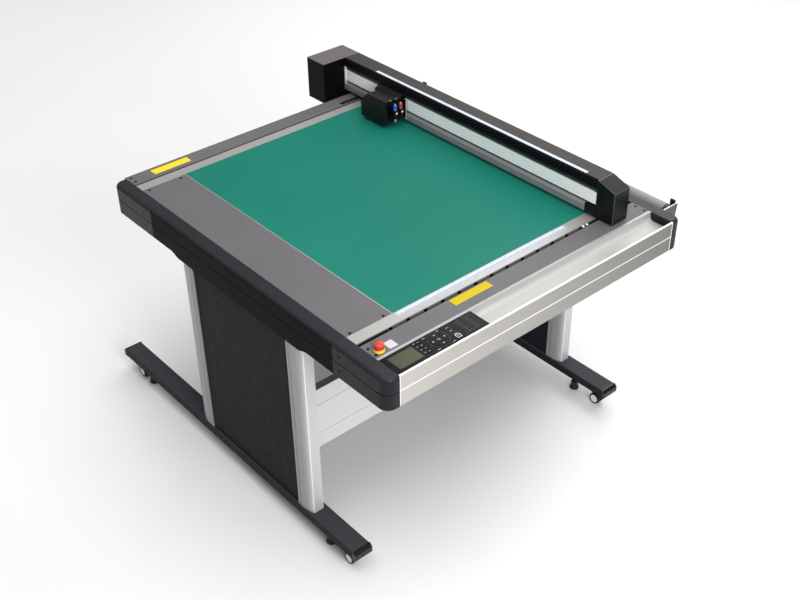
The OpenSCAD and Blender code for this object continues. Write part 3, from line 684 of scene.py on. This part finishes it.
# ---- stop button head: domed mushroom with a grip ring
bm = bmesh.new()
bm_lathe(bm, [(3.1, 16.2), (11.9, 16.2), (11.9, 7.6), (13.2, 7.6), (13.9, 8.4), (14.0, 10.5), (14.0, 18.6), (13.6, 20.2), (12.6, 21.4),
              (11.0, 22.2), (8.4, 22.7), (5.0, 22.9), (0.0, 22.98)][3:] , (28, -97, T), "z", 96)
prof = [(0, 16.1), (3.0, 16.1), (11.9, 16.1), (11.95, 7.6), (13.2, 7.6), (13.9, 8.4), (14.0, 10.5), (14.0, 18.6), (13.6, 20.2),
        (12.6, 21.4), (11.0, 22.2), (8.4, 22.7), (5.0, 22.9), (0, 22.98)]
bm.free()
bm = bmesh.new()
bm_lathe(bm, prof, (28, -97, T), "z", 96)
for v in bm.verts:
    d = v.co - S(28, -97, 0)
    r = math.hypot(d.x, d.y) * 1000.0
    h = v.co.z * 1000.0 - T
    if r > 13.5 and 9.0 < h < 19.5:
        a = math.atan2(d.y, d.x)
        f = 1.0 - 0.018 * (0.5 + 0.5 * math.cos(a * 24))
        v.co.x = S(28, -97, 0).x + d.x * f
        v.co.y = S(28, -97, 0).y + d.y * f
add("stop_head", bm, "red", "estop_head", replaces=("estop_head",), angle=50)

# ---- control panel printing
ZP = T - 1.5
ZK = T - 0.4


def bars(name, items, z, mat, body, h=0.03, r=0.25):
    bm = bmesh.new()
    for x, y, w, d in items:
        along_z(bm, rr(x, y, w, d, min(r, w / 2.2, d / 2.2), 2), z, z + h)
    return add(name, bm, mat, body)


def ring(bm, outer, inner, z, h=0.03):
    """Flat printed outline between two outlines with the same number of points."""
    n = len(outer)
    vs = [[bm.verts.new(S(p[0], p[1], zz)) for p in o] for o in (outer, inner) for zz in (z, z + h)]
    o0, o1, i0, i1 = vs
    for i in range(n):
        j = (i + 1) % n
        bm.faces.new((o0[i], o0[j], o1[j], o1[i]))
        bm.faces.new((i0[j], i0[i], i1[i], i1[j]))
        bm.faces.new((o1[i], o1[j], i1[j], i1[i]))
        bm.faces.new((o0[j], o0[i], i0[i], i0[j]))


def frame_line(name, cx, cy, w, d, r, t, z, mat, body):
    bm = bmesh.new()
    ring(bm, rr(cx, cy, w, d, r), rr(cx, cy, w - 2 * t, d - 2 * t, max(0.1, r - t)), z)
    return add(name, bm, mat, body)


marks = [(110, y, 6.0, 1.0) for y in (-134, -149.5, -164.5, -179)]
marks += [(143.4, -133.6, 10, 1.1), (192.4, -132.0, 9, 1.1), (145.1, -192.4, 10, 1.1), (197, -193.0, 10, 1.1), (219.8, -139.6, 9, 0.9),
          (219.8, -155.4, 9, 0.9), (219.8, -172.0, 9, 0.9)]
bars("panel_marks", marks, ZP, "ink", "base")
soft = []
for c in range(2):
    for r_ in range(6):
        w = (15, 19, 12, 17, 14, 18)[(r_ + c) % 6]
        soft.append((262 + c * 30 - (20 - w) / 2, -138 - r_ * 9.4, w, 0.9))
        soft.append((256 + c * 30, -141.6 - r_ * 9.4, 7, 0.6))
bars("panel_table_marks", soft, ZP, "ink_soft", "base")
bm = bmesh.new()
ring(bm, rr(59.5, -162.5, 80.5, 54.5, 2.0), rr(59.5, -162.5, 79.7, 53.7, 1.6), ZP)
for cx_, cy_ in ((219.8, -147.5), (219.8, -163.8)):
    ring(bm, rr(cx_, cy_, 15, 8.6, 2.0), rr(cx_, cy_, 14.2, 7.8, 1.6), ZP)
for cx_, cy_ in ((262, -161.5), (292, -161.5)):
    ring(bm, rr(cx_, cy_, 26, 60, 1.5), rr(cx_, cy_, 25.4, 59.4, 1.2), ZP)
add("panel_outlines", bm, "ink_soft", "base")
bm = bmesh.new()
ring(bm, [(172 + 30.2 * math.cos(a), -161.5 + 30.2 * math.sin(a)) for a in [2 * math.pi * i / 96 for i in range(96)]],
     [(172 + 29.7 * math.cos(a), -161.5 + 29.7 * math.sin(a)) for a in [2 * math.pi * i / 96 for i in range(96)]], ZP)
add("pad_ring", bm, "ink_soft", "base")


def tri(name, cx, cy, ang, size, body):
    bm = bmesh.new()
    pts = []
    for a in (90, 210, 330):
        q = math.radians(a + ang)
        pts.append((cx + size * math.cos(q), cy + size * math.sin(q)))
    along_z(bm, pts, ZK, ZK + 0.03)
    return add(name, bm, "ink", body)


for nm, dx, dy, ang in (("key_up", 0, 19.2, 0), ("key_left", -19.2, 0, 90), ("key_down", 0, -19.2, 180), ("key_right", 19.2, 0, 270)):
    tri("mark_" + nm, 172 + dx, -161.5 + dy, ang, 3.0, nm)
bm = bmesh.new()
ring(bm, [(172 + 4.2 * math.cos(a), -161.5 + 4.2 * math.sin(a)) for a in [2 * math.pi * i / 48 for i in range(48)]],
     [(172 + 3.4 * math.cos(a), -161.5 + 3.4 * math.sin(a)) for a in [2 * math.pi * i / 48 for i in range(48)]], ZK)
add("mark_key_enter", bm, "ink", "key_enter")
frame_line("mark_key_start", 220, -184, 14.4, 15.2, 2.0, 1.4, ZK, "ink_key", "key_start")
bars("mark_key_start_bar", [(220, -184, 5.5, 1.2)], ZK, "ink_key", "key_start")
for i, y in enumerate((-136, -152, -167, -182)):
    bars("mark_key_menu_%d" % (i + 1), [(122, y, 5.0, 1.0)], ZK, "ink", "key_menu_%d" % (i + 1))

# ---- casters: tyres, white hub discs
FX = -12.0
for side, x, sx in (("left", FX, 1), ("right", 1062 - FX, 1)):
    for end, ys in (("front", 18.0), ("rear", 1188.0)):
        body = "wheels_%s_%s" % (end, side)
        ya = ys - 14.0
        bm = bmesh.new()
        for s_ in (-1, 1):
            prof = [(0, 4.2), (9.5, 4.2), (9.7, 4.8), (17.2, 4.8), (19.0, 5.4), (19.9, 7.0), (20.0, 8.6), (20.0, 10.8), (19.7, 12.6), (18.6, 14.2),
                    (17.0, 15.0), (15.6, 15.0), (15.0, 14.2), (14.8, 12.4), (0, 12.4)]
            bm_lathe(bm, [(r, s_ * h) for r, h in prof], (x, ya, 20.0), "x", 72)
        bm_lathe(bm, [(0, -5), (3.9, -5), (3.9, 5), (0, 5)], (x, ya, 20.0), "x", 32)
        add("tyres_%s_%s" % (end, side), bm, "tyre", body, replaces=(body,), angle=40)
        bm = bmesh.new()
        for s_ in (-1, 1):
            prof = [(0, 12.5), (14.4, 12.5), (14.5, 13.4), (13.9, 14.1), (11.6, 14.4), (11.0, 14.0), (6.0, 13.7), (5.4, 14.2), (3.4, 14.7), (0, 14.8)]
            bm_lathe(bm, [(r, s_ * h) for r, h in prof], (x, ya, 20.0), "x", 64)
        add("hubs_%s_%s" % (end, side), bm, "white", body, angle=40)

# ---- levelling feet: wide pad, hex nut and threaded stem
def hexnut(bm, x, y, z0, z1, r, hole, seg=48):
    """Hexagonal nut with a round bore and chamfered corners."""
    outer = []
    for i in range(seg):
        a = 2 * math.pi * i / seg
        q = (a % (math.pi / 3)) - math.pi / 6
        outer.append(r * math.cos(math.pi / 6) / math.cos(q))
    def loop(f, z, k=1.0):
        return [bm.verts.new(S(x + f(i) * math.cos(2 * math.pi * i / seg), y + f(i) * math.sin(2 * math.pi * i / seg), z)) for i in range(seg)]
    rings = [loop(lambda i: hole, z0), loop(lambda i: min(outer[i], r * 0.9), z0), loop(lambda i: outer[i], z0 + r * 0.08),
             loop(lambda i: outer[i], z1 - r * 0.08), loop(lambda i: min(outer[i], r * 0.9), z1), loop(lambda i: hole, z1)]
    for a, b in zip(rings, rings[1:] + rings[:1]):
        for i in range(seg):
            j = (i + 1) % seg
            bm.faces.new((a[i], a[j], b[j], b[i]))
    return bm


for side, x in (("left", FX), ("right", 1062 - FX)):
    for end, y in (("front", 105.0), ("rear", 1120.0)):
        body = "leveller_%s_%s" % (end, side)
        bm = bmesh.new()
        bm_lathe(bm, [(0, 0.02), (14.2, 0.02), (15.5, 0.9), (15.95, 2.4), (15.5, 3.3), (15.5, 4.2), (15.95, 5.1), (15.95, 8.4), (15.2, 10.0),
                      (13.2, 13.0), (12.0, 15.9), (0, 16.0)], (x, y, 0), "z", 72)
        add("pad_%s_%s" % (end, side), bm, "rubber", body, replaces=(body,), angle=40)
        bm = bmesh.new()
        hexnut(bm, x, y, 16.1, 31.0, 13.0, 3.0)
        add("nut_%s_%s" % (end, side), bm, "nutsteel", body, angle=30)
        bm = bmesh.new()
        prof = [(0, 30.6), (6.5, 30.6)]
        z = 31.2
        while z < 44.0:
            prof += [(6.75, z), (6.0, z + 0.75)]
            z += 1.5
        prof += [(6.4, 44.8), (3.6, 45.0), (3.6, 65.6), (0, 65.9)]
        bm_lathe(bm, prof, (x, y, 0), "z", 40)
        add("stem_%s_%s" % (end, side), bm, "nutsteel", body, angle=25)

# ---- tools: knurled collars, pale tags, pen sleeve
TX, TY = 856.0, 797.0
for i, (body, kb) in enumerate((("tool_a", "knob_a"), ("tool_b", "knob_b"))):
    x = TX + 24.4 * i
    bm = bmesh.new()
    along_y(bm, rr(x, T + 54, 7.0, 6.0, 1.0, 3), TY - 8.9, TY - 8.02)
    add("tag_%s" % body, bm, "white", body, bevel=0.2)
for i, (body, colour, slot_) in enumerate((("knob_a", "blue", "blue_plastic"), ("knob_b", "red", "red_plastic"))):
    x = TX + 24.4 * i
    bm = bmesh.new()
    seg = 96
    loops = []
    for r, z, flute in ((0, 66.6, 0), (5.3, 66.6, 0), (6.0, 67.3, 0.3), (6.2, 68.4, 0.75), (6.2, 79.6, 0.75), (6.0, 81.0, 0.4), (5.2, 82.2, 0), (3.9, 82.6, 0), (3.7, 81.9, 0), (0, 81.8, 0)):
        if r == 0:
            loops.append([bm.verts.new(S(x, TY, T + z))])
            continue
        ring_ = []
        for n in range(seg):
            a = 2 * math.pi * n / seg
            rad = r - flute * (0.5 + 0.5 * math.cos(12 * a)) ** 2
            ring_.append(bm.verts.new(S(x + rad * math.cos(a), TY + rad * math.sin(a), T + z)))
        loops.append(ring_)
    for a, b in zip(loops[:-1], loops[1:]):
        for n in range(seg):
            m = (n + 1) % seg
            if len(a) == 1:
                bm.faces.new((a[0], b[m], b[n]))
            elif len(b) == 1:
                bm.faces.new((a[n], a[m], b[0]))
            else:
                bm.faces.new((a[n], a[m], b[m], b[n]))
    add("grip_%s" % body, bm, colour, body, replaces=("tool_%s" % body,), angle=40)
    bm = bmesh.new()
    bm_lathe(bm, [(0, 55.5), (1.95, 55.5), (1.95, 63.2), (5.0, 63.4), (5.2, 64.0), (5.2, 65.9), (4.8, 66.7), (0, 66.9)], (x, TY, T), "z", 48)
    bm_lathe(bm, [(0, 81.7), (3.3, 81.7), (3.5, 82.3), (3.5, 84.9), (2.9, 85.8), (0, 85.95)], (x, TY, T), "z", 48)
    add("collar_%s" % body, bm, "steel", body, angle=40)
bm = bmesh.new()
bm_lathe(bm, [(0, 17.6), (1.7, 17.6), (2.8, 18.8), (4.6, 20.4), (5.6, 22.4), (5.9, 24.8), (5.9, 30.9), (5.6, 31.7), (0, 31.8)], (TX, TY, T), "z", 48)
add("pen_sleeve", bm, "steel", "tool_a", angle=40)
bm = bmesh.new()
for i in range(2):
    bm_lathe(bm, [(0, 90.5), (3.1, 90.5), (3.3, 91.0), (3.3, 93.4), (2.8, 94.0), (1.5, 94.0), (1.3, 93.2), (0, 93.2)], (TX - 12 + 24.4 * i, 806.5, T + 7.0 - 7.0), "z", 32)
bm.free()
bm = bmesh.new()
for i in range(2):
    bm_lathe(bm, [(0, 97.0), (3.2, 97.0), (3.4, 97.6), (3.4, 100.2), (2.9, 100.9), (0, 101.0)], (TX - 12 + 24.4 * i, 806.5, T), "z", 32)
add("post_caps", bm, "steel", "carriage", bevel=0.0)
bm = bmesh.new()
for z in (T + 90.0, T + 22.0):
    for y in (797.0,):
        bm_lathe(bm, [(0, -0.1), (2.6, -0.1), (2.9, -0.6), (2.9, -2.2), (2.4, -2.7), (0, -2.7)], (BX - 8.0, y, z), "x", 32)
add("plate_bolts", bm, "steel", "carriage", angle=40)

# ---- hood that closes the carriage against the rail
bm = bmesh.new()
along_y(bm, [(BX - 30, T + 84), (BX - 9.5, T + 84), (BX - 9.5, T + 30), (BX - 1.4, T + 30), (BX - 1.4, T + 99.5), (BX - 7.5, T + 99.5), (BX - 26, T + 90.6)], 812.5, 930.8)
add("carriage_hood", bm, "black", "carriage", bevel=0.8)

# ---- gantry's front cover, with a painted highlight on its bevelled edges
M["cover_edge"] = painted("cover_edge_painted_highlight", (70, 72, 76), 0.25, spec=0.5)
bm = bmesh.new()
along_x(bm, [(-38.05, T + 4.05), (-38.05, TOP), (-41, TOP), (-104.68, TOP - 20.4), (-104.68, T + 4.05)], BX, BX + 66)
o = add("front_cover_shell", bm, "coverblack", "gantry", replaces=("gantry_cover_front",), bevel=0.0)
o.data.materials.append(M["cover_edge"])
bv = o.modifiers.new("edge", "BEVEL")
bv.width = 0.0009
bv.segments = 2
bv.limit_method = "ANGLE"
bv.angle_limit = math.radians(14)
# the bevel faces carry the painted highlight material
bv.material = 1
bv.harden_normals = True

# ---- rear cover screws
bm = bmesh.new()
for z in (TOP - 18, TOP - 112):
    bm_lathe(bm, [(0, 0.0), (2.9, 0.0), (2.9, -0.9), (2.3, -1.3), (1.2, -1.3), (1.0, -0.8), (0, -0.8)], (BX - 92.95 + 0.0, 1136, z), "x", 32)
bm.free()
bm = bmesh.new()
for z in (TOP - 18, TOP - 112):
    bm_lathe(bm, [(0, 0.0), (2.9, 0.0), (2.9, -0.9), (2.3, -1.3), (1.2, -1.3), (1.0, -0.8), (0, -0.8)], (BX - 80, 1128.02, z), "y", 32)
add("rear_cover_screws", bm, "darksteel", "gantry", angle=40)

# ---------------------------------------------------------------- stage, light, camera
bm = bmesh.new()
bmesh.ops.create_grid(bm, x_segments=2, y_segments=2, size=60.0)
me = bpy.data.meshes.new("floor")
bm.to_mesh(me); bm.free()
kf = Mat("studio_floor")
kf.colour(kf.mix(kf.rng(kf.noise(0.7), 0, 1, 0.3, 0.7), (0.66, 0.66, 0.66), (0.68, 0.68, 0.68)))
kf.rough(0.9)
kf.set(Specular_IOR_Level=0.1)
me.materials.append(kf.m)
floor = bpy.data.objects.new("floor", me)
bpy.context.collection.objects.link(floor)
floor.location = (0, 0, -0.0004)

w = bpy.data.worlds.new("studio")
bpy.context.scene.world = w
w.use_nodes = True
wn, wl = w.node_tree.nodes, w.node_tree.links
wc = wn.new("ShaderNodeTexCoord")
ws = wn.new("ShaderNodeSeparateXYZ")
wr = wn.new("ShaderNodeMapRange")
wr.inputs["From Min"].default_value = 0.06
wr.inputs["From Max"].default_value = 0.34
wr.inputs["To Min"].default_value = 0.62
wr.inputs["To Max"].default_value = 0.2
wl.new(wc.outputs["Generated"], ws.inputs[0])
wl.new(ws.outputs[2], wr.inputs["Value"])
wl.new(wr.outputs["Result"], wn["Background"].inputs[1])
wn["Background"].inputs[0].default_value = (1.0, 1.0, 1.0, 1.0)


def area(name, loc, target, size, power, sy=None):
    d = bpy.data.lights.new(name, "AREA")
    d.shape = "RECTANGLE"
    d.size = size
    d.size_y = sy or size
    d.energy = power
    o = bpy.data.objects.new(name, d)
    bpy.context.collection.objects.link(o)
    o.location = loc
    o.rotation_euler = (Vector(target) - Vector(loc)).to_track_quat("-Z", "Y").to_euler()
    return o


area("key", (-0.9, -3.4, 2.4), (0, 0, 0.5), 1.6, 125)
area("back", (3.2, 1.3, 3.0), (0.2, -0.1, 0.7), 3.0, 85)
d = bpy.data.lights.new("overhead", "SUN")
d.energy = 2.7
d.angle = math.radians(64.0)
o = bpy.data.objects.new("overhead", d)
bpy.context.collection.objects.link(o)
o.rotation_euler = Vector((-0.06, 0.10, -1.0)).to_track_quat("-Z", "Y").to_euler()

sc = bpy.context.scene
sc.view_settings.view_transform = "Standard"
cam = bpy.data.cameras.new("camera")
cam.sensor_width = 36.0
cam.lens = 1154.5766 * 36.0 / 800.0
cam.clip_end = 100.0
co = bpy.data.objects.new("camera", cam)
bpy.context.collection.objects.link(co)
right = Vector((0.75368792, -0.65715106, -0.01034415))
down = Vector((-0.38834117, -0.43258134, -0.81367347))
fwd = Vector((0.5302317, 0.61727293, -0.58123014))
pos = S(-1421.0679, -1866.6159, 2615.9824)
co.matrix_world = Matrix((
    (right.x, -down.x, -fwd.x, pos.x),
    (right.y, -down.y, -fwd.y, pos.y),
    (right.z, -down.z, -fwd.z, pos.z),
    (0, 0, 0, 1)))
sc.camera = co
